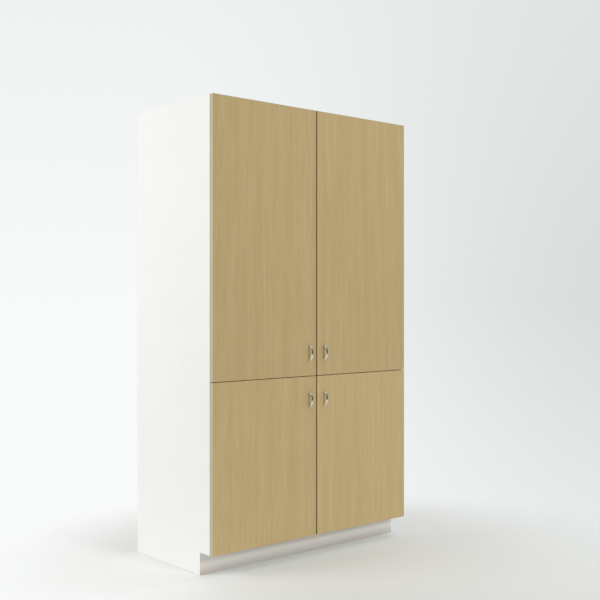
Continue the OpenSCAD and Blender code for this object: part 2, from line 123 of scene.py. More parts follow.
def spreadAbout(tree, centre, value, spread):
    # a value that runs from 0 to 1, spread evenly about the centre
    return maths(tree, "ADD", centre, maths(tree, "MULTIPLY", maths(tree, "SUBTRACT", value, 0.5), spread))


def shareOf(tree, value, span):
    # straight share of the way through a span
    low, high = span
    return maths(tree, "DIVIDE", maths(tree, "SUBTRACT", value, low), high - low)


def noise(tree, vector, scale, detail=2.0, roughness=0.5, distortion=0.0):
    return addNode(tree, "ShaderNodeTexNoise", {
        "Vector": vector, "Scale": scale, "Detail": detail, "Roughness": roughness, "Distortion": distortion,
    }).outputs[0]


def ramp(tree, factor, stops):
    node = addNode(tree, "ShaderNodeValToRGB", {0: factor})
    elements = node.color_ramp.elements
    elements[0].position, elements[0].color = stops[0]
    elements[1].position, elements[1].color = stops[-1]
    for position, tint in stops[1:-1]:
        elements.new(position).color = tint
    return node.outputs[0]


def linear(value):
    value = value / 255
    return value / 12.92 if value <= 0.04045 else ((value + 0.055) / 1.055) ** 2.4


def rgb(red, green, blue):
    return (linear(red), linear(green), linear(blue), 1.0)


def newGroup(name, inputs, outputs):
    tree = bpy.data.node_groups.new(name, "ShaderNodeTree")
    for label, value in inputs:
        kind = "NodeSocketVector" if isinstance(value, tuple) else "NodeSocketFloat"
        tree.interface.new_socket(label, in_out="INPUT", socket_type=kind).default_value = value
    for label in outputs:
        kind = "NodeSocketColor" if label == "Color" else "NodeSocketFloat"
        tree.interface.new_socket(label, in_out="OUTPUT", socket_type=kind)
    return tree, tree.nodes.new("NodeGroupInput").outputs, tree.nodes.new("NodeGroupOutput").inputs


def useGroup(tree, group, inputs):
    return addNode(tree, "ShaderNodeGroup", inputs, node_tree=group).outputs


# Shader groups that several finishes share

groupLook = {
    "wornPatch": {"detail": 4.0, "roughness": 0.62}, "wornRange": (0.5, 0.68),
    "wanderScale": 2.2, "wanderReach": 0.02, "cloudStretch": (0.2, 0.2, 0.2), "bandShare": 0.6,
    "poreRange": (0.6, 0.74), "poreDepth": 0.8,
    "smudge": {"scale": 3.1, "detail": 4.0, "roughness": 0.6, "distortion": 0.8},
    "wipeStretch": (9.0, 9.0, 34.0), "wipes": {"scale": 1.0, "detail": 3.0, "roughness": 0.6, "distortion": 0.4},
    "smudgeShare": 0.6,
    "chipStretch": (1.0, 1.0, 0.45), "chipScale": 520.0,
    "dustScale": 900.0, "dustRange": (0.35, 0.7), "dustShare": 0.5,
    "chips": [(0.0, rgb(158, 128, 88)), (0.5, rgb(192, 163, 118)), (1.0, rgb(218, 194, 152))],
    "chipDust": rgb(205, 182, 142),
    "tarnish": {"scale": 130.0, "detail": 4.0, "roughness": 0.6}, "lineShare": 0.55,
}


def buildBoardEdges():
    # broken mask along the edges of a board's box, where the finish has rubbed thin
    tree, entry, leave = newGroup(
        "boardEdges",
        [("Centre", (0.0, 0.0, 0.0)), ("Half Size", (1.0, 1.0, 1.0)), ("Width", 0.002), ("Patch Scale", 38.0)],
        ["Worn"])
    place = objectPlace(tree)
    away = vectorMaths(tree, "ABSOLUTE", vectorMaths(tree, "SUBTRACT", place, entry["Centre"]))
    x, y, z = splitXyz(tree, vectorMaths(tree, "SUBTRACT", entry["Half Size"], away))
    # the second smallest of the three depths is how far the place is from the nearest edge
    lesser, larger = maths(tree, "MINIMUM", x, y), maths(tree, "MAXIMUM", x, y)
    depth = maths(tree, "MAXIMUM", lesser, maths(tree, "MINIMUM", larger, z))
    edge = mapRange(tree, depth, 0.0, entry["Width"], 1.0, 0.0)
    patches = noise(tree, place, entry["Patch Scale"], **groupLook["wornPatch"])
    patches = mapRange(tree, patches, *groupLook["wornRange"], 0.0, 1.0)
    tree.links.new(maths(tree, "MULTIPLY", edge, patches), leave["Worn"])
    return tree


def buildWoodFigure():
    # straight figure along the axis that the stretch makes long
    tree, entry, leave = newGroup(
        "woodFigure",
        [("Vector", (0.0, 0.0, 0.0)), ("Stretch", (1.0, 1.0, 0.03)), ("Band Scale", 70.0),
         ("Fibre Scale", 620.0), ("Pore Scale", 900.0)],
        ["Tone", "Fibre", "Pores", "Height"])
    wander = noise(tree, entry["Vector"], groupLook["wanderScale"], 1.0)
    wander = maths(tree, "MULTIPLY", wander, groupLook["wanderReach"])
    bent = vectorMaths(tree, "ADD", entry["Vector"], joinXyz(tree, wander, wander, wander))
    along = vectorMaths(tree, "MULTIPLY", bent, entry["Stretch"])
    wide = noise(tree, along, entry["Band Scale"], 3.0, 0.55)
    cloudy = noise(tree, vectorMaths(tree, "MULTIPLY", along, groupLook["cloudStretch"]), entry["Band Scale"])
    fibre = noise(tree, along, entry["Fibre Scale"], 2.0, 0.6)
    pores = mapRange(tree, noise(tree, along, entry["Pore Scale"], 1.0), *groupLook["poreRange"], 0.0, 1.0)
    relief = maths(tree, "SUBTRACT", fibre, maths(tree, "MULTIPLY", pores, groupLook["poreDepth"]))
    tree.links.new(weighted(tree, wide, cloudy, groupLook["bandShare"]), leave["Tone"])
    tree.links.new(fibre, leave["Fibre"])
    tree.links.new(pores, leave["Pores"])
    tree.links.new(relief, leave["Height"])
    return tree


def buildLaminateSkin():
    # pressed texture of a laminate, with faint wipe marks in its sheen
    tree, entry, leave = newGroup(
        "laminateSkin",
        [("Vector", (0.0, 0.0, 0.0)), ("Grain Scale", 1400.0), ("Roughness", 0.45), ("Wipe Marks", 0.08)],
        ["Roughness", "Height", "Smudge"])
    smudge = noise(tree, entry["Vector"], **groupLook["smudge"])
    along = vectorMaths(tree, "MULTIPLY", entry["Vector"], groupLook["wipeStretch"])
    marks = weighted(tree, smudge, noise(tree, along, **groupLook["wipes"]), groupLook["smudgeShare"])
    tree.links.new(spreadAbout(tree, entry["Roughness"], marks, entry["Wipe Marks"]), leave["Roughness"])
    tree.links.new(noise(tree, entry["Vector"], entry["Grain Scale"], 2.0, 0.55), leave["Height"])
    tree.links.new(smudge, leave["Smudge"])
    return tree


def buildChipCore():
    # sawn particle board, and the mask of where it shows: behind the rear line and on the floor
    tree, entry, leave = newGroup("chipCore", [("Rear", 0.326), ("Floor", 0.0005)], ["Color", "Mask"])
    place = objectPlace(tree)
    chips = addNode(tree, "ShaderNodeTexVoronoi", {
        "Vector": vectorMaths(tree, "MULTIPLY", place, groupLook["chipStretch"]), "Scale": groupLook["chipScale"],
        "Randomness": 1.0})
    tones = addNode(tree, "ShaderNodeSeparateColor", {0: chips.outputs["Color"]}).outputs[0]
    dustAndShade = noise(tree, place, groupLook["dustScale"])
    dustAndShade = mapRange(tree, dustAndShade, *groupLook["dustRange"], 0.0, groupLook["dustShare"])
    _, y, z = splitXyz(tree, place)
    behind = maths(tree, "GREATER_THAN", y, entry["Rear"])
    under = maths(tree, "LESS_THAN", z, entry["Floor"])
    tint = mixColour(tree, dustAndShade, ramp(tree, tones, groupLook["chips"]), groupLook["chipDust"])
    tree.links.new(tint, leave["Color"])
    tree.links.new(maths(tree, "MAXIMUM", behind, under), leave["Mask"])
    return tree


def buildBrushedMetal():
    # plated metal: drawn lines and cloudy tarnish
    tree, entry, leave = newGroup(
        "brushedMetal",
        [("Vector", (0.0, 0.0, 0.0)), ("Stretch", (1.0, 1.0, 0.05)), ("Line Scale", 2600.0),
         ("Roughness", 0.3), ("Spread", 0.12)],
        ["Tone", "Roughness", "Height"])
    along = vectorMaths(tree, "MULTIPLY", entry["Vector"], entry["Stretch"])
    lines = noise(tree, along, entry["Line Scale"], 2.0, 0.6)
    tone = weighted(tree, lines, noise(tree, entry["Vector"], **groupLook["tarnish"]), groupLook["lineShare"])
    tree.links.new(tone, leave["Tone"])
    tree.links.new(spreadAbout(tree, entry["Roughness"], tone, entry["Spread"]), leave["Roughness"])
    tree.links.new(lines, leave["Height"])
    return tree


boardEdges = buildBoardEdges()
woodFigure = buildWoodFigure()
laminateSkin = buildLaminateSkin()
chipCore = buildChipCore()
brushedMetal = buildBrushedMetal()
print("shader groups built")


# Materials

def newMaterial(name):
    material = bpy.data.materials.new(name)
    material.use_nodes = True
    tree = material.node_tree
    tree.nodes.clear()
    shader = addNode(tree, "ShaderNodeBsdfPrincipled")
    addNode(tree, "ShaderNodeOutputMaterial", {0: shader.outputs[0]})
    return material, tree, shader


def shiftedPlace(tree, shift=(0.0, 0.0, 0.0)):
    return addNode(tree, "ShaderNodeMapping", {"Vector": objectPlace(tree), "Location": shift}).outputs[0]


def coat(tree, shader, tint, roughness, height, values):
    # what every finish ends with: colour, roughness and relief, and sheen where it has its own
    relief = addNode(tree, "ShaderNodeBump", {
        "Strength": values["bump"], "Distance": values["relief"], "Height": height})
    fill(tree, shader.inputs["Base Color"], tint)
    fill(tree, shader.inputs["Roughness"], roughness)
    fill(tree, shader.inputs["Normal"], relief.outputs[0])
    if "sheen" in values:
        shader.inputs["Specular IOR Level"].default_value = values["sheen"]


def boardBox(name):
    low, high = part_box(name)
    return {"Centre": tuple((low + high) / 2), "Half Size": tuple((high - low) / 2)}


def pressedSkin(tree, place, values):
    return useGroup(tree, laminateSkin, {
        "Vector": place, "Roughness": values["roughness"], "Wipe Marks": values["wipeMarks"]})


laminate = {"wipeMarks": 0.1, "sheen": 0.4, "relief": 0.0002}
whiteFinish = {
    "face": rgb(235, 235, 233), "shade": rgb(233, 233, 230), "worn": rgb(206, 200, 188),
    "roughness": 0.42, "edgeWidth": 0.0012, "wornShare": 0.5,
    "sawnRoughness": 0.35, "bump": 0.08, **laminate,
    # painted shade: the darker, warmer tone of the faces in the toe space
    "kick": rgb(229, 225, 219), "kickReach": 0.0005,
    # painted contact shade near the floor, broken into patches
    "floorShadeTint": rgb(168, 162, 152), "floorShadeShare": 0.5, "floorShadeHeight": 0.05,
    "floorShadePatch": {"scale": 30.0, "detail": 4.0, "roughness": 0.6}, "floorShadeSpan": (0.2, 0.6, 0.8, 1.0),
}
coreDepth = {"rear": 0.0002, "floor": 0.0003}  # how far in from the rear line and the floor the core shows
sheetShift = {"white": (0.37, 0.23, 0.51), "wood": (1.7, 0.9, 2.3)}  # each board is cut from another place
sawnBoards = ("left_side_panel", "right_side_panel", "top_panel", "bottom_panel")
kickBoards = ("toe_kick_board", "left_side_panel", "right_side_panel")
kickFront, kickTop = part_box("toe_kick_board")[0].y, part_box("bottom_panel")[0].z


def cutFrom(kind, index):
    return tuple(step * index for step in sheetShift[kind])


def whiteBoard(name, index, values):
    # white melamine facing, with the sawn core on the edges that face the wall and the floor
    material, tree, shader = newMaterial(f"whiteMelamine_{name}")
    place = shiftedPlace(tree, cutFrom("white", index))
    skin = pressedSkin(tree, place, values)
    edge = useGroup(tree, boardEdges, {**boardBox(name), "Width": values["edgeWidth"]})
    face = mixColour(tree, mapRange(tree, skin["Smudge"], 0.35, 0.7, 0.0, 1.0), values["face"], values["shade"])
    face = mixColour(tree, maths(tree, "MULTIPLY", edge["Worn"], values["wornShare"]), face, values["worn"])
    if name in kickBoards:
        # the faces in the toe space: painted shade of the recess under the doors, darker still near the floor in
        # dust-like patches
        _, y, z = splitXyz(tree, objectPlace(tree))
        kick = maths(tree, "MULTIPLY", maths(tree, "LESS_THAN", y, kickFront + values["kickReach"]),
                     maths(tree, "LESS_THAN", z, kickTop))
        patches = mapRange(tree, noise(tree, place, **values["floorShadePatch"]), *values["floorShadeSpan"])
        # painted contact shade: darker towards the floor, in patches
        low = mapRange(tree, z, 0.0, values["floorShadeHeight"], values["floorShadeShare"], 0.0)
        dustAndShade = maths(tree, "MULTIPLY", low, patches)
        face = mixColour(tree, kick, face, mixColour(tree, dustAndShade, values["kick"], values["floorShadeTint"]))
    roughness = skin["Roughness"]
    if name in sawnBoards:
        core = useGroup(tree, chipCore, {"Rear": cadHigh.y - coreDepth["rear"], "Floor": coreDepth["floor"]})
        face = mixColour(tree, core["Mask"], face, core["Color"])
        roughness = maths(tree, "ADD", roughness, maths(tree, "MULTIPLY", core["Mask"], values["sawnRoughness"]))
    coat(tree, shader, face, roughness, skin["Height"], values)
    return material


woodFinish = {
    "dark": rgb(189, 165, 117), "middle": rgb(195, 172, 124), "light": rgb(201, 179, 131),
    "pore": rgb(166, 141, 97), "worn": rgb(176, 152, 108),
    "roughness": 0.44, "edgeWidth": 0.0016, "wornShare": 0.4,
    "figure": {"Stretch": (1.0, 1.0, 0.03), "Band Scale": 150.0, "Fibre Scale": 640.0, "Pore Scale": 1100.0},
    "fibreShare": 0.35, "poreShare": 0.35, "bump": 0.12, **laminate,
    "doorLightShares": (0.98, 0.985, 1.025, 1.06),  # painted light: each door's brightness, set to the light that falls on it, in the order of doorTags
}


def paleWood(name, index, values):
    # wood-grain laminate of a door: upright figure, each door from another sheet
    material, tree, shader = newMaterial(f"paleWoodLaminate_{name}")
    place = shiftedPlace(tree, cutFrom("wood", index))
    figure = useGroup(tree, woodFigure, {"Vector": place, **values["figure"]})
    skin = pressedSkin(tree, place, values)
    edge = useGroup(tree, boardEdges, {**boardBox(name), "Width": values["edgeWidth"]})
    wood = ramp(tree, figure["Tone"], [(0.36, values["dark"]), (0.5, values["middle"]), (0.64, values["light"])])
    fibre = mapRange(tree, figure["Fibre"], 0.3, 0.7, 0.0, values["fibreShare"])
    wood = mixColour(tree, fibre, wood, values["dark"])
    wood = mixColour(tree, maths(tree, "MULTIPLY", figure["Pores"], values["poreShare"]), wood, values["pore"])
    wood = mixColour(tree, maths(tree, "MULTIPLY", edge["Worn"], values["wornShare"]), wood, values["worn"])
    # painted light: the door's tone is scaled by the light that falls on it
    doorLight = values["doorLightShares"][index]
    wood = mixColour(tree, 1.0, wood, (doorLight, doorLight, doorLight, 1.0), "MULTIPLY")
    coat(tree, shader, wood, skin["Roughness"], figure["Height"], values)
    return material


bandFigure = {"Stretch": (0.03, 1.0, 1.0), "Band Scale": 160.0, "Fibre Scale": 900.0, "Pore Scale": 1300.0}
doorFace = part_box("upper_left_door")[0].y
splitHeight = (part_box("upper_left_edge_band")[0].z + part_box("lower_left_edge_band")[1].z) / 2


def bandMaterial(name, values):
    # edge banding: its figure follows the band through the UV map
    material, tree, shader = newMaterial(name)
    uv = addNode(tree, "ShaderNodeUVMap", uv_map="bandRun").outputs[0]
    figure = useGroup(tree, woodFigure, {"Vector": uv, **bandFigure})
    skin = pressedSkin(tree, uv, values)
    tint = ramp(tree, figure["Tone"], [(0.35, values["dark"]), (0.65, values["light"])])
    tint = mixColour(tree, maths(tree, "MULTIPLY", figure["Pores"], values["pores"]), tint, values["dark"])
    if "gapShade" in values:
        # painted shade in the gaps: the edges that meet at the middle and the split are browner where they face the
        # gaps, and the glued line at the door's face takes the laminate's tone
        x, y, z = splitXyz(tree, objectPlace(tree))
        middle = maths(tree, "LESS_THAN", maths(tree, "ABSOLUTE", x), values["middleReach"])
        away = maths(tree, "ABSOLUTE", maths(tree, "SUBTRACT", z, splitHeight))
        split = maths(tree, "MULTIPLY", maths(tree, "LESS_THAN", away, values["splitReach"]), values["splitShare"])
        tint = mixColour(tree, maths(tree, "MAXIMUM", middle, split), tint, values["gapShade"])
        line = mapRange(tree, y, doorFace + values["glueLine"] / 2, doorFace + values["glueLine"], 1.0, 0.0)
        tint = mixColour(tree, line, tint, values["glued"])
    coat(tree, shader, tint, skin["Roughness"], figure["Height"], values)
    return material


def plainMetal(name, values):
    material, tree, shader = newMaterial(name)
    metal = useGroup(tree, brushedMetal, {
        "Vector": shiftedPlace(tree), "Stretch": values["stretch"],
        "Line Scale": values["lineScale"], "Roughness": values["roughness"], "Spread": values["spread"]})
    tint = ramp(tree, metal["Tone"], [(0.3, values["dark"]), (0.7, values["light"])])
    coat(tree, shader, tint, metal["Roughness"], metal["Height"], values)
    shader.inputs["Metallic"].default_value = 1.0
    return material


doorBand = bandMaterial("woodEdgeBand", {
    "dark": rgb(184, 168, 139), "light": rgb(195, 181, 154), "gapShade": rgb(160, 132, 90),
    "glued": rgb(182, 157, 113), "middleReach": 0.004, "splitReach": 0.0025, "splitShare": 0.5, "glueLine": 0.001,
    "roughness": 0.42, "pores": 0.4, "bump": 0.1, **laminate})
whiteBand = bandMaterial("whiteEdgeBand", {
    "dark": rgb(231, 231, 228), "light": rgb(236, 236, 234), "roughness": 0.4, "pores": 0.15, "bump": 0.04,
    **laminate})
metalRelief = 0.0001
satinNickel = plainMetal("satinNickel", {
    "dark": rgb(226, 222, 214), "light": rgb(246, 242, 233), "roughness": 0.19, "spread": 0.1,
    "stretch": (1.0, 1.0, 0.05), "lineScale": 2600.0, "bump": 0.1, "relief": metalRelief})
hingeNickel = plainMetal("hingeNickel", {
    "dark": rgb(186, 186, 184), "light": rgb(214, 213, 210), "roughness": 0.24, "spread": 0.14,
    "stretch": (0.06, 1.0, 1.0), "lineScale": 1500.0, "bump": 0.06, "relief": metalRelief})
screwZinc = plainMetal("screwZinc", {
    "dark": rgb(176, 178, 182), "light": rgb(212, 213, 214), "roughness": 0.3, "spread": 0.2,
    "stretch": (1.0, 1.0, 1.0), "lineScale": 1800.0, "bump": 0.1, "relief": metalRelief})


plasticFinish = {
    "dark": rgb(214, 214, 208), "light": rgb(234, 234, 230),
    "hazeScale": 260.0, "roughness": (0.18, 0.34), "bump": 0.1, "relief": 0.0002,
}


def milkyPlastic(values):
    material, tree, shader = newMaterial("milkyPlastic")
    haze = noise(tree, shiftedPlace(tree), values["hazeScale"], 3.0)
    tint = mixColour(tree, haze, values["dark"], values["light"])
    coat(tree, shader, tint, mapRange(tree, haze, 0.3, 0.7, *values["roughness"]), haze, values)
    return material


dowelFinish = {
    "dark": rgb(196, 160, 112), "light": rgb(220, 188, 142), "pore": rgb(160, 122, 78),
    "figure": {"Stretch": (0.05, 1.0, 1.0), "Band Scale": 300.0, "Fibre Scale": 1500.0, "Pore Scale": 1900.0},
    "roughness": (0.6, 0.75), "bump": 0.3, "relief": 0.0003,
}


def dowelBeech(values):
    material, tree, shader = newMaterial("dowelBeech")
    figure = useGroup(tree, woodFigure, {"Vector": shiftedPlace(tree), **values["figure"]})
    tint = ramp(tree, figure["Tone"], [(0.35, values["dark"]), (0.65, values["light"])])
    tint = mixColour(tree, figure["Pores"], tint, values["pore"])
    roughness = mapRange(tree, figure["Fibre"], 0.3, 0.7, *values["roughness"])
    coat(tree, shader, tint, roughness, figure["Height"], values)
    return material


def dress(name, material):
    mesh = nodes[name].data
    mesh.materials.clear()
    mesh.materials.append(material)


looseShelves = [f"adjustable_shelf_{number}" for number in range(1, 6)]
whiteNodes = [
    "left_side_panel", "right_side_panel", "top_panel", "bottom_panel", "fixed_middle_shelf", "back_panel",
    "top_nailer", "middle_nailer", "bottom_nailer", "toe_kick_board", "rear_base_rail", "base_stretcher",
    *looseShelves,
]
for index, name in enumerate(whiteNodes):
    dress(name, whiteBoard(name, index, whiteFinish))
for index, tag in enumerate(doorTags):
    dress(f"{tag}_door", paleWood(f"{tag}_door", index, woodFinish))
    for part in ("hinge_cups", "cup_pins", "hinge_links"):
        dress(f"{tag}_{part}", hingeNickel)
for name in ("hinge_plates", "hinge_arms", "arm_pins"):
    dress(name, hingeNickel)
dress("joint_dowels", dowelBeech(dowelFinish))
print("materials placed on the frame's nodes")


# Geometry node trees for what repeats or follows a rule

def newGeometryTree(name, inputs):
    tree = bpy.data.node_groups.new(name, "GeometryNodeTree")
    tree.interface.new_socket("Geometry", in_out="INPUT", socket_type="NodeSocketGeometry")
    for label, value in inputs:
        kind = {tuple: "NodeSocketVector", float: "NodeSocketFloat", int: "NodeSocketInt"}[type(value)]
        tree.interface.new_socket(label, in_out="INPUT", socket_type=kind).default_value = value
    tree.interface.new_socket("Finish", in_out="INPUT", socket_type="NodeSocketMaterial")
    tree.interface.new_socket("Geometry", in_out="OUTPUT", socket_type="NodeSocketGeometry")
    return tree, tree.nodes.new("NodeGroupInput").outputs


def endTree(tree, geometry, finish):
    whole = addNode(tree, "GeometryNodeRealizeInstances", {0: geometry}).outputs[0]
    coated = addNode(tree, "GeometryNodeSetMaterial", {"Geometry": whole, "Material": finish}).outputs[0]
    tree.links.new(coated, tree.nodes.new("NodeGroupOutput").inputs[0])


def joinParts(tree, parts):
    node = addNode(tree, "GeometryNodeJoinGeometry")
    for part in reversed(parts):
        tree.links.new(part, node.inputs[0])
    return node.outputs[0]


def moved(tree, geometry, place=(0, 0, 0), turn=(0, 0, 0)):
    return addNode(tree, "GeometryNodeTransform", {
        "Geometry": geometry, "Translation": place, "Rotation": turn}).outputs[0]


def turnedForm(tree, start, end, radius, outline, rings, segments):
    # a turned form between two points; outline: places along the way, with shares of the radius there
    line = addNode(tree, "GeometryNodeCurvePrimitiveLine", {"Start": start, "End": end}).outputs[0]
    points = addNode(tree, "GeometryNodeResampleCurve", {"Curve": line, "Count": rings}).outputs[0]
    along = addNode(tree, "GeometryNodeSplineParameter").outputs["Factor"]
    shape = addNode(tree, "ShaderNodeFloatCurve", {"Value": along})
    curve = shape.mapping.curves[0]
    curve.points[0].location, curve.points[1].location = outline[0], outline[-1]
    for place in outline[1:-1]:
        curve.points.new(*place)
    for point in curve.points:
        point.handle_type = "VECTOR"
    shape.mapping.update()
    circle = addNode(tree, "GeometryNodeCurvePrimitiveCircle", {"Resolution": segments, "Radius": 1.0}).outputs[0]
    return addNode(tree, "GeometryNodeCurveToMesh", {
        "Curve": points, "Profile Curve": circle, "Fill Caps": True,
        "Scale": maths(tree, "MULTIPLY", shape.outputs[0], radius)}).outputs[0]


def cut(tree, body, tools):
    return addNode(tree, "GeometryNodeMeshBoolean", {"Mesh 1": body, "Mesh 2": joinParts(tree, tools)},
                   operation="DIFFERENCE").outputs[0]


def box(tree, size, place, turn=(0, 0, 0)):
    cube = addNode(tree, "GeometryNodeMeshCube", {"Size": size}).outputs[0]
    return moved(tree, cube, place, turn)


def placed(tree, points, shape, spin=None, axis="Z"):
    # instances on the holder's points, each turned to its axis attribute
    towards = addNode(tree, "GeometryNodeInputNamedAttribute", {"Name": "axis"}, data_type="FLOAT_VECTOR").outputs[0]
    aligned = addNode(tree, "FunctionNodeAlignRotationToVector", {"Vector": towards}, axis=axis,
                      pivot_axis="Z" if axis == "X" else "AUTO").outputs[0]
    if spin is not None:
        turn = addNode(tree, "FunctionNodeRandomValue", {2: 0.0, 3: 2 * math.pi, "Seed": spin}, data_type="FLOAT")
        about = addNode(tree, "FunctionNodeAxisAngleToRotation", {"Axis": (0, 0, 1), "Angle": turn.outputs[1]})
        aligned = addNode(tree, "FunctionNodeRotateRotation", {"Rotation": aligned, "Rotate By": about.outputs[0]},
                          rotation_space="LOCAL").outputs[0]
    return addNode(tree, "GeometryNodeInstanceOnPoints", {
        "Points": points, "Instance": shape, "Rotation": aligned}).outputs[0]


def holder(name, points):
    # a mesh of loose points, each with the direction that its piece faces
    mesh = bpy.data.meshes.new(name)
    mesh.from_pydata([place for place, _ in points], [], [])
    axis = mesh.attributes.new("axis", "FLOAT_VECTOR", "POINT")
    for index, (_, direction) in enumerate(points):
        axis.data[index].vector = direction
    return mesh


def runTree(name, base, tree, values):
    maker = bpy.data.objects.new(f"{name}_maker", base)
    bpy.context.scene.collection.objects.link(maker)
    modifier = maker.modifiers.new("make", "NODES")
    modifier.node_group = tree
    for item in tree.interface.items_tree:
        if item.in_out == "INPUT" and item.name in values:
            modifier[item.identifier] = values[item.name]
    graph = bpy.context.evaluated_depsgraph_get()
    made = maker.evaluated_get(graph)
    mesh = bpy.data.meshes.new_from_object(made, preserve_all_data_layers=True, depsgraph=graph)
    bpy.data.objects.remove(maker)
    mesh.name = name
    return mesh


sharpFrom = math.radians(38)


def addPiece(name, mesh, body, replaced=()):
    mesh.shade_smooth()
    mesh.set_sharp_from_angle(angle=sharpFrom)
    piece = bpy.data.objects.new(name, mesh)
    bpy.context.scene.collection.objects.link(piece)
    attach(piece, body)
    if replaced:
        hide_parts(*replaced)
    return piece


# Bow pulls

strapRounding, footLength = 0.46, 1.42  # shares of the bow's thickness and of the foot's height
footForm = {
    "outline": [(0.0, 0.95), (0.04, 1.0), (0.14, 1.0), (0.22, 0.93), (0.45, 0.9), (0.6, 0.96), (0.72, 0.99),
                (0.82, 0.96), (0.89, 0.88), (0.945, 0.74), (0.98, 0.52), (1.0, 0.2)],
    "rings": 52, "segments": 36,
}
pullShape = {
    "Pitch": 0.064, "Reach": 0.025, "Bow Width": 0.012, "Bow Thickness": 0.006,
    "Foot Radius": 0.0064, "Foot Height": 0.009, "Waist": 0.92,
}


def buildPullTree():
    tree, entry = newGeometryTree("bowPull", [*pullShape.items(), ("Place", (0.0, 0.0, 0.0))])
    half = maths(tree, "MULTIPLY", entry["Pitch"], 0.5)
    footFront = maths(tree, "MULTIPLY", entry["Foot Height"], -1.0)
    thin = maths(tree, "MULTIPLY", maths(tree, "MULTIPLY", entry["Bow Thickness"], 0.5), entry["Waist"])
    crest = maths(tree, "SUBTRACT", thin, entry["Reach"])
    low = joinXyz(tree, 0.0, footFront, maths(tree, "MULTIPLY", half, -1.0))
    high = joinXyz(tree, 0.0, footFront, half)
    arc = addNode(tree, "GeometryNodeCurveArc", {
        "Resolution": 56, "Start": low, "Middle": joinXyz(tree, 0.0, crest, 0.0), "End": high,
    }, mode="POINTS").outputs[0]
    along = addNode(tree, "GeometryNodeSplineParameter").outputs["Factor"]
    middle = maths(tree, "SINE", maths(tree, "MULTIPLY", along, math.pi))
    slim = maths(tree, "SUBTRACT", 1.0, entry["Waist"])
    girth = maths(tree, "SUBTRACT", 1.0, maths(tree, "MULTIPLY", middle, slim))
    strap = addNode(tree, "GeometryNodeCurvePrimitiveQuadrilateral", {
        "Width": entry["Bow Width"], "Height": entry["Bow Thickness"]}).outputs[0]
    strap = addNode(tree, "GeometryNodeFilletCurve", {
        "Curve": strap, "Count": 7, "Limit Radius": True,
        "Radius": maths(tree, "MULTIPLY", entry["Bow Thickness"], strapRounding)}, mode="POLY").outputs[0]
    bow = addNode(tree, "GeometryNodeCurveToMesh", {
        "Curve": arc, "Profile Curve": strap, "Scale": girth, "Fill Caps": True}).outputs[0]
    foot = turnedForm(
        tree, (0, 0, 0), joinXyz(tree, 0.0, maths(tree, "MULTIPLY", entry["Foot Height"], -footLength), 0.0),
        entry["Foot Radius"], **footForm)
    points = joinParts(tree, [
        addNode(tree, "GeometryNodePoints", {"Count": 1, "Position": joinXyz(tree, 0.0, 0.0, end)}).outputs[0]
        for end in (half, maths(tree, "MULTIPLY", half, -1.0))])
    feet = addNode(tree, "GeometryNodeInstanceOnPoints", {"Points": points, "Instance": foot}).outputs[0]
    endTree(tree, moved(tree, joinParts(tree, [bow, feet]), entry["Place"]), entry["Finish"])
    return tree


pullTree = buildPullTree()
blank = bpy.data.meshes.new("blank")
for tag in doorTags:
    low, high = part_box(f"{tag}_pull")
    middle = (low + high) / 2
    mesh = runTree(f"{tag}_bow_pull", blank, pullTree, {
        **pullShape, "Place": (middle.x, high.y, middle.z), "Finish": satinNickel})
    addPiece(f"{tag}_bow_pull", mesh, f"{tag}_leaf", [f"{tag}_pull"])
print("pulls made")


# Screws

recessShares = {"length": 1.16, "width": 0.24}  # the cross's bars, as shares of the head's radius
screwForms = {
    "head": {"outline": [(0.0, 0.96), (0.08, 1.0), (0.4, 1.0), (0.66, 0.93), (0.85, 0.8), (1.0, 0.58)],
             "rings": 14, "segments": 28},
    "shank": {"outline": [(0.0, 0.5), (0.12, 1.0), (1.0, 1.0)], "rings": 8, "segments": 12},
}


def buildScrewTree():
    # pan-head screws with a cross recess, one at each point, turned at random
    tree, entry = newGeometryTree("panHeadScrews", [
        ("Head Radius", 0.004), ("Head Height", 0.002), ("Shank Radius", 0.0022), ("Shank Length", 0.012),
        ("Recess Depth", 0.0012), ("Seed", 7)])
    top = joinXyz(tree, 0.0, 0.0, entry["Head Height"])
    head = turnedForm(tree, (0, 0, 0), top, entry["Head Radius"], **screwForms["head"])
    length = maths(tree, "MULTIPLY", entry["Head Radius"], recessShares["length"])
    width = maths(tree, "MULTIPLY", entry["Head Radius"], recessShares["width"])
    deep = maths(tree, "MULTIPLY", entry["Recess Depth"], 2.0)
    recess = [box(tree, joinXyz(tree, length, width, deep), top), box(tree, joinXyz(tree, width, length, deep), top)]
    tip = joinXyz(tree, 0.0, 0.0, maths(tree, "MULTIPLY", entry["Shank Length"], -1.0))
    shank = turnedForm(tree, tip, (0, 0, 0), entry["Shank Radius"], **screwForms["shank"])
    screw = joinParts(tree, [cut(tree, head, recess), shank])
    endTree(tree, placed(tree, entry["Geometry"], screw, spin=entry["Seed"]), entry["Finish"])
    return tree


screwTree = buildScrewTree()
screwSizes = {
    "plate": {"Head Radius": 0.004, "Head Height": 0.002, "Shank Radius": 0.0024, "Shank Length": 0.012,
              "Recess Depth": 0.0012, "Seed": 3},
    "cup": {"Head Radius": 0.0038, "Head Height": 0.0018, "Shank Radius": 0.00175, "Shank Length": 0.011,
            "Recess Depth": 0.0011, "Seed": 11},
    "pull": {"Head Radius": 0.00375, "Head Height": 0.0024, "Shank Radius": 0.002, "Shank Length": 0.024,
             "Recess Depth": 0.0014, "Seed": 19},
    "adjuster": {"Head Radius": 0.0027, "Head Height": 0.0008, "Shank Radius": 0.002, "Shank Length": 0.0012,
                 "Recess Depth": 0.0006, "Seed": 23},
}
hingeLayout = {"plateScrewHalf": 0.016, "cupScrewHalf": 0.024, "cupScrewX": 0.029, "armWebX": 0.041,
               "adjusterDepths": (0.026, 0.047), "plateDepth": 0.037, "plateFace": 0.022,
               "cupFlange": 0.001, "cupPinHalf": 0.01}
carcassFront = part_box("carcass_edge_band")[0].y
outerX = cadHigh.x


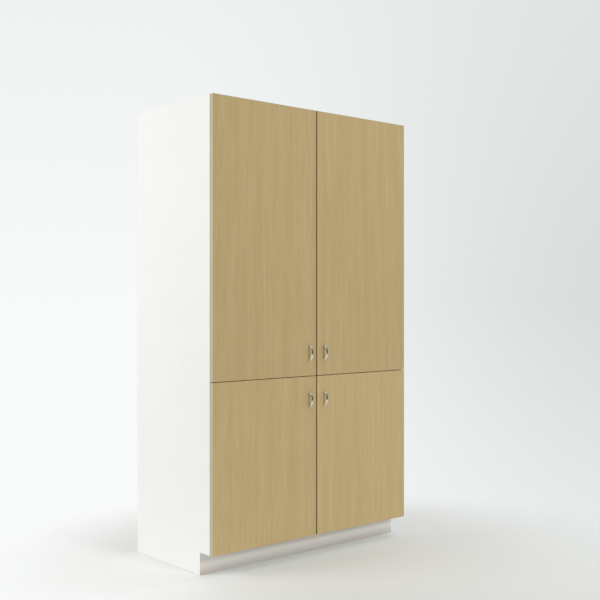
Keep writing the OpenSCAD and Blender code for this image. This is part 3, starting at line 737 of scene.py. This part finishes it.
def hingeHeights(tag):
    # the middle of each hinge, from the ends of the cup pins
    low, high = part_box(f"{tag}_cup_pins")
    half = hingeLayout["cupPinHalf"]
    if tag.startswith("upper"):
        return [low.z + half, (low.z + high.z) / 2, high.z - half]
    return [low.z + half, high.z - half]


def addScrews(name, kind, points, body, replaced=()):
    mesh = runTree(name, holder(f"{name}_points", points), screwTree, {**screwSizes[kind], "Finish": screwZinc})
    addPiece(name, mesh, body, replaced)


plateScrews = []
adjusters = []
for tag in doorTags:
    side = -1 if tag.endswith("left") else 1
    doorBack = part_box(f"{tag}_edge_band")[1].y
    cupScrews = []
    plateX, cupX, armX = (side * (outerX - hingeLayout[key]) for key in ("plateFace", "cupScrewX", "armWebX"))
    plateY, cupY = carcassFront + hingeLayout["plateDepth"], doorBack + hingeLayout["cupFlange"]
    for z in hingeHeights(tag):
        for end in (-1, 1):
            plateScrews.append(((plateX, plateY, z + end * hingeLayout["plateScrewHalf"]), (-side, 0, 0)))
            cupScrews.append(((cupX, cupY, z + end * hingeLayout["cupScrewHalf"]), (0, 1, 0)))
        for depth in hingeLayout["adjusterDepths"]:
            adjusters.append(((armX, carcassFront + depth, z), (-side, 0, 0)))
    addScrews(f"{tag}_cup_screw_set", "cup", cupScrews, f"{tag}_leaf", [f"{tag}_cup_screws"])
    low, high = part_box(f"{tag}_pull_screws")
    middle = (low + high) / 2
    pullScrews = [((middle.x, doorBack, middle.z + end * pullShape["Pitch"] / 2), (0, 1, 0)) for end in (-1, 1)]
    addScrews(f"{tag}_pull_screw_set", "pull", pullScrews, f"{tag}_leaf", [f"{tag}_pull_screws"])
addScrews("hinge_plate_screw_set", "plate", plateScrews, "carcass", ["hinge_plate_screws"])
addScrews("hinge_adjuster_set", "adjuster", adjusters, "carcass")
print("screws made:", len(plateScrews), "plate screws,", len(adjusters), "adjusters")


# Shelf pins

pinShape = {
    "Pin Radius": 0.00245, "Collar Radius": 0.0039, "Collar Thickness": 0.0012, "Reach": 0.0095, "Depth": 0.009,
}
pinHole, pinHead = 0.0025, 0.004  # radii of the pins' holes and of the frame's own pin heads
pinForms = {
    "barrel": {"outline": [(0.0, 0.8), (0.06, 1.0), (1.0, 1.0)], "rings": 10, "segments": 20},
    "collar": {"outline": [(0.0, 0.95), (0.2, 1.0), (0.8, 1.0), (1.0, 0.93)], "rings": 8, "segments": 32},
    "tongue": {"outline": [(0.0, 1.0), (0.78, 1.0), (0.92, 0.9), (1.0, 0.7)], "rings": 12, "segments": 32},
}
pinOverlap = 0.0001  # how far the barrel runs into the collar
lidSize = (0.05, 0.05, 0.04)  # what cuts the tongue flat


def buildPinTree():
    # each pin: a barrel in the side panel, a collar and a flat-topped tongue under the shelf
    tree, entry = newGeometryTree("shelfPins", list(pinShape.items()))
    deep, collarEnd, tip = (
        joinXyz(tree, x, 0.0, 0.0)
        for x in (maths(tree, "MULTIPLY", entry["Depth"], -1.0), entry["Collar Thickness"], entry["Reach"]))
    barrel = turnedForm(tree, deep, (pinOverlap, 0, 0), entry["Pin Radius"], **pinForms["barrel"])
    collar = turnedForm(tree, (0, 0, 0), collarEnd, entry["Collar Radius"], **pinForms["collar"])
    tongue = turnedForm(tree, (0, 0, 0), tip, entry["Collar Radius"], **pinForms["tongue"])
    above = maths(tree, "ADD", entry["Pin Radius"], lidSize[2] / 2)
    lid = box(tree, lidSize, joinXyz(tree, 0.0, 0.0, above))
    pin = joinParts(tree, [barrel, collar, cut(tree, tongue, [lid])])
    endTree(tree, placed(tree, entry["Geometry"], pin, axis="X"), entry["Finish"])
    return tree


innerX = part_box("bottom_panel")[1].x
pinLow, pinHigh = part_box("shelf_pins")
pins = []
for name in looseShelves:
    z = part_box(name)[0].z - pinHole
    for side in (-1, 1):
        for y in (pinLow.y + pinHead, pinHigh.y - pinHead):
            pins.append(((side * innerX, y, z), (-side, 0, 0)))
mesh = runTree("shelf_pin_set", holder("shelf_pin_points", pins), buildPinTree(), {**pinShape, "Finish": screwZinc})
addPiece("shelf_pin_set", mesh, "carcass", ["shelf_pins"])
print("shelf pins made:", len(pins))


# Door bumpers

bumperShape = {"Radius": 0.0035, "Height": 0.00148}
bumperForm = {
    "outline": [(0.0, 0.97), (0.12, 1.0), (0.5, 0.93), (0.8, 0.74), (1.0, 0.42)], "rings": 16, "segments": 28,
}


def buildBumperTree():
    tree, entry = newGeometryTree("doorBumpers", list(bumperShape.items()))
    dome = turnedForm(tree, (0, 0, 0), joinXyz(tree, 0.0, 0.0, entry["Height"]), entry["Radius"], **bumperForm)
    endTree(tree, placed(tree, entry["Geometry"], dome), entry["Finish"])
    return tree


low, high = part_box("door_bumpers")
bumperX = high.x - bumperShape["Radius"]
shelfLow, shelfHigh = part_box("fixed_middle_shelf")
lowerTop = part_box("lower_left_edge_band")[1].z
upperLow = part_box("upper_left_edge_band")[0].z
bumperHeights = [
    low.z + bumperShape["Radius"], (lowerTop + shelfLow.z) / 2, (upperLow + shelfHigh.z) / 2,
    high.z - bumperShape["Radius"]]
bumpers = [((side * bumperX, carcassFront, z), (0, -1, 0)) for side in (-1, 1) for z in bumperHeights]
mesh = runTree("door_bumper_set", holder("bumper_points", bumpers), buildBumperTree(),
               {**bumperShape, "Finish": milkyPlastic(plasticFinish)})
addPiece("door_bumper_set", mesh, "carcass", ["door_bumpers"])
print("bumpers made:", len(bumpers))


# Edge banding with eased arrises

bandShape = {"thickness": 0.001, "doorEasing": 0.0007, "carcassEasing": 0.0003, "steps": 3}


def runUv(face, layer, upright):
    # the band's own run goes along U
    for loop in face.loops:
        x, y, z = loop.vert.co
        loop[layer].uv = (z, x + y) if upright else (x, z + y)


def easeEdges(piece, width, weighted):
    # a bevel along the outer arrises
    modifier = piece.modifiers.new("easing", "BEVEL")
    modifier.width = width
    modifier.segments = bandShape["steps"]
    modifier.limit_method = "WEIGHT" if weighted else "ANGLE"


def doorBanding(tag):
    # a ring round the door's board: the outer loop is eased, the inner one meets the board
    low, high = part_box(f"{tag}_edge_band")
    form = bmesh.new()
    weight = form.edges.layers.float.new("bevel_weight_edge")
    layer = form.loops.layers.uv.new("bandRun")
    corners = [(0, 0), (1, 0), (1, 1), (0, 1)]
    rings = {}
    for depth, y in (("front", low.y), ("back", high.y)):
        for name, inset in (("outer", 0.0), ("inner", bandShape["thickness"])):
            rings[name, depth] = [form.verts.new((
                low.x + inset if i == 0 else high.x - inset, y, low.z + inset if k == 0 else high.z - inset))
                for i, k in corners]
    for i in range(4):
        k = (i + 1) % 4
        for name, depth, other, otherDepth in (
                ("outer", "front", "inner", "front"), ("inner", "front", "inner", "back"),
                ("inner", "back", "outer", "back"), ("outer", "back", "outer", "front")):
            form.faces.new((rings[name, depth][i], rings[name, depth][k],
                            rings[other, otherDepth][k], rings[other, otherDepth][i]))
    outer = set(rings["outer", "front"]) | set(rings["outer", "back"])
    for edge in form.edges:
        edge[weight] = 1.0 if edge.verts[0] in outer and edge.verts[1] in outer else 0.0
    bmesh.ops.recalc_face_normals(form, faces=form.faces)
    for face in form.faces:
        centre = face.calc_center_median()
        runUv(face, layer, min(centre.x - low.x, high.x - centre.x) < min(centre.z - low.z, high.z - centre.z))
    mesh = bpy.data.meshes.new(f"{tag}_banding")
    form.to_mesh(mesh)
    form.free()
    mesh.materials.append(doorBand)
    piece = addPiece(f"{tag}_banding", mesh, f"{tag}_leaf", [f"{tag}_edge_band"])
    easeEdges(piece, bandShape["doorEasing"], weighted=True)


for tag in doorTags:
    doorBanding(tag)


def carcassBanding():
    # uprights on the side panels and rails on the boards between them
    low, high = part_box("carcass_edge_band")
    strips = [((low.x, low.z), (-innerX, high.z), True), ((innerX, low.z), (high.x, high.z), True)]
    for name in ("bottom_panel", "fixed_middle_shelf", "top_panel"):
        boardLow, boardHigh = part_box(name)
        strips.append(((-innerX, boardLow.z), (innerX, boardHigh.z), False))
    form = bmesh.new()
    layer = form.loops.layers.uv.new("bandRun")
    for (x0, z0), (x1, z1), upright in strips:
        made = bmesh.ops.create_cube(form, size=1.0)["verts"]
        for vert in made:
            vert.co = Vector((
                (x0 + x1) / 2 + vert.co.x * (x1 - x0), (low.y + high.y) / 2 + vert.co.y * (high.y - low.y),
                (z0 + z1) / 2 + vert.co.z * (z1 - z0)))
        for face in {face for vert in made for face in vert.link_faces}:
            runUv(face, layer, upright)
    mesh = bpy.data.meshes.new("carcass_banding")
    form.to_mesh(mesh)
    form.free()
    mesh.materials.append(whiteBand)
    piece = addPiece("carcass_banding", mesh, "carcass", ["carcass_edge_band"])
    easeEdges(piece, bandShape["carcassEasing"], weighted=False)


carcassBanding()
print("edge banding made")


# Floor, background and light

stageLook = {
    "floorRadius": 9.0, "floorDrop": 0.0003, "fadeCentre": (0.0, -0.35, 0.0), "fadeFrom": 0.8, "fadeTo": 1.8,
    "floorSideways": (-0.45, 0.8), "floorAway": (-1.0, 0.6), "floorRoughness": 0.7, "floorSheen": 0.15,
    "floorLight": rgb(248, 249, 247),
    "floorDark": [(0.0, rgb(225, 227, 225)), (0.3, rgb(234, 236, 234)), (0.6, rgb(241, 243, 241)),
                  (1.0, rgb(244, 245, 243))],
    "wallSideways": (-0.38, 0.17), "wallRise": (-0.3, 0.35),
    "wallLight": [(0.06, rgb(250, 252, 251)), (0.46, rgb(248, 250, 249)), (0.95, rgb(237, 241, 240))],
    "wallDark": [(0.0, rgb(221, 224, 220)), (0.15, rgb(228, 232, 230)), (0.46, rgb(215, 218, 215)),
                 (0.95, rgb(223, 227, 226))],
    # painted reflection: the dark patch that reflections see in front of the doors
    "darkReflectionTint": rgb(78, 72, 62), "darkReflectionFacing": (-0.75, -0.15), "darkReflectionTop": (0.64, 0.78),
    "darkReflectionFoot": (-0.4, -0.15), "skyStrength": 0.56,
}
photoLeft = (-0.7588, 0.6513, 0.0)
photoAway = (0.6513, 0.7588, 0.0)


def buildFloor(values):
    # lit ground that clears into the background further out; lighter on the left of the photograph's view
    form = bmesh.new()
    bmesh.ops.create_circle(form, cap_ends=True, segments=96, radius=values["floorRadius"])
    for vert in form.verts:
        vert.co.z = -values["floorDrop"]
    mesh = bpy.data.meshes.new("studio_floor")
    form.to_mesh(mesh)
    form.free()
    material, tree, shader = newMaterial("paleFloor")
    place = objectPlace(tree)
    sideways = dotProduct(tree, place, photoLeft)
    away = dotProduct(tree, place, photoAway)
    # painted light and shade on the floor: lighter on the left and further back, darker in front and on the right
    dark = ramp(tree, shareOf(tree, away, values["floorAway"]), values["floorDark"])
    fill(tree, shader.inputs["Base Color"], mixColour(
        tree, mapRange(tree, sideways, *values["floorSideways"], 0.0, 1.0), dark, values["floorLight"]))
    shader.inputs["Roughness"].default_value = values["floorRoughness"]
    shader.inputs["Specular IOR Level"].default_value = values["floorSheen"]
    output = shader.outputs[0].links[0].to_socket
    reach = addNode(tree, "ShaderNodeVectorMath", {0: place, 1: values["fadeCentre"]},
                    operation="DISTANCE").outputs["Value"]
    fade = mapRange(tree, reach, values["fadeFrom"], values["fadeTo"], 0.0, 1.0)
    clear = addNode(tree, "ShaderNodeBsdfTransparent").outputs[0]
    blend = addNode(tree, "ShaderNodeMixShader", {0: fade, 1: shader.outputs[0], 2: clear}).outputs[0]
    tree.links.new(blend, output)
    mesh.materials.append(material)
    floor = bpy.data.objects.new("studio_floor", mesh)
    bpy.context.scene.collection.objects.link(floor)


def buildWorld(values):
    # even light from all round; seen directly it is a pale wall, lighter on the left of the photograph's view
    world = bpy.data.worlds.new("studio")
    bpy.context.scene.world = world
    world.use_nodes = True
    tree = world.node_tree
    tree.nodes.clear()
    direction = addNode(tree, "ShaderNodeTexCoord").outputs["Generated"]
    _, y, z = splitXyz(tree, direction)
    rise = shareOf(tree, z, values["wallRise"])
    leftward = mapRange(tree, dotProduct(tree, direction, photoLeft), *values["wallSideways"], 0.0, 1.0)
    # painted light on the backdrop: the wall is lighter on the left and changes with height
    tint = mixColour(tree, leftward, ramp(tree, rise, values["wallDark"]), ramp(tree, rise, values["wallLight"]))
    # painted reflection: a dark patch in front of the doors that shows in reflections alone and gives no light
    front = mapRange(tree, y, *values["darkReflectionFacing"], 1.0, 0.0)
    level = maths(tree, "MULTIPLY", mapRange(tree, z, *values["darkReflectionTop"], 1.0, 0.0),
                  mapRange(tree, z, *values["darkReflectionFoot"], 0.0, 1.0))
    path = addNode(tree, "ShaderNodeLightPath").outputs
    darkReflection = maths(tree, "MULTIPLY", maths(tree, "MULTIPLY", front, level), path["Is Glossy Ray"])
    even = addNode(tree, "ShaderNodeBackground", {0: (1.0, 1.0, 1.0, 1.0), 1: values["skyStrength"]}).outputs[0]
    # painted reflection: reflections see this pale wall at full strength, brighter than the even light
    seen = addNode(tree, "ShaderNodeBackground", {
        0: mixColour(tree, darkReflection, tint, values["darkReflectionTint"]), 1: 1.0}).outputs[0]
    direct = maths(tree, "MAXIMUM", path["Is Camera Ray"],
                   maths(tree, "MAXIMUM", path["Is Glossy Ray"], path["Is Transmission Ray"]))
    blend = addNode(tree, "ShaderNodeMixShader", {0: direct, 1: even, 2: seen}).outputs[0]
    addNode(tree, "ShaderNodeOutputWorld", {0: blend})


lamps = {
    "key_left": {"place": (-5.2, 2.2, 2.4), "aim": (0.0, 0.0, 0.9), "size": 3.2, "watts": 166,
                 "mirrored": True},
    "fill_front": {"place": (0.2, -5.4, 2.6), "aim": (0.0, 0.0, 1.0), "size": 0.9, "watts": 78,
                   "mirrored": False},
    "top_right": {"place": (2.84, -1.46, 4.08), "aim": (0.9, 0.0, 0.4), "size": 2.4, "watts": 34,
                  "mirrored": False},
}


def buildLamps():
    for name, values in lamps.items():
        light = bpy.data.lights.new(name, "AREA")
        light.shape = "SQUARE"
        light.size = values["size"]
        light.energy = values["watts"]
        lamp = bpy.data.objects.new(name, light)
        lamp.location = values["place"]
        towards = Vector(values["aim"]) - Vector(values["place"])
        lamp.rotation_euler = towards.to_track_quat("-Z", "Y").to_euler()
        lamp.visible_camera = False
        lamp.visible_glossy = values["mirrored"]
        bpy.context.scene.collection.objects.link(lamp)


buildFloor(stageLook)
buildWorld(stageLook)
buildLamps()

cameraView = {"place": (-3.059, -3.74315, 1.226), "heading": photoAway, "lens": 57.68, "film": 36.0}
camera = bpy.data.objects.new("photo_camera", bpy.data.cameras.new("photo_camera"))
camera.data.lens = cameraView["lens"]
camera.data.sensor_width = cameraView["film"]
camera.location = cameraView["place"]
camera.rotation_euler = Vector(cameraView["heading"]).to_track_quat("-Z", "Y").to_euler()
bpy.context.scene.collection.objects.link(camera)
bpy.context.scene.camera = camera
bpy.context.scene.view_settings.view_transform = "Standard"
print("stage, lamps and camera placed")
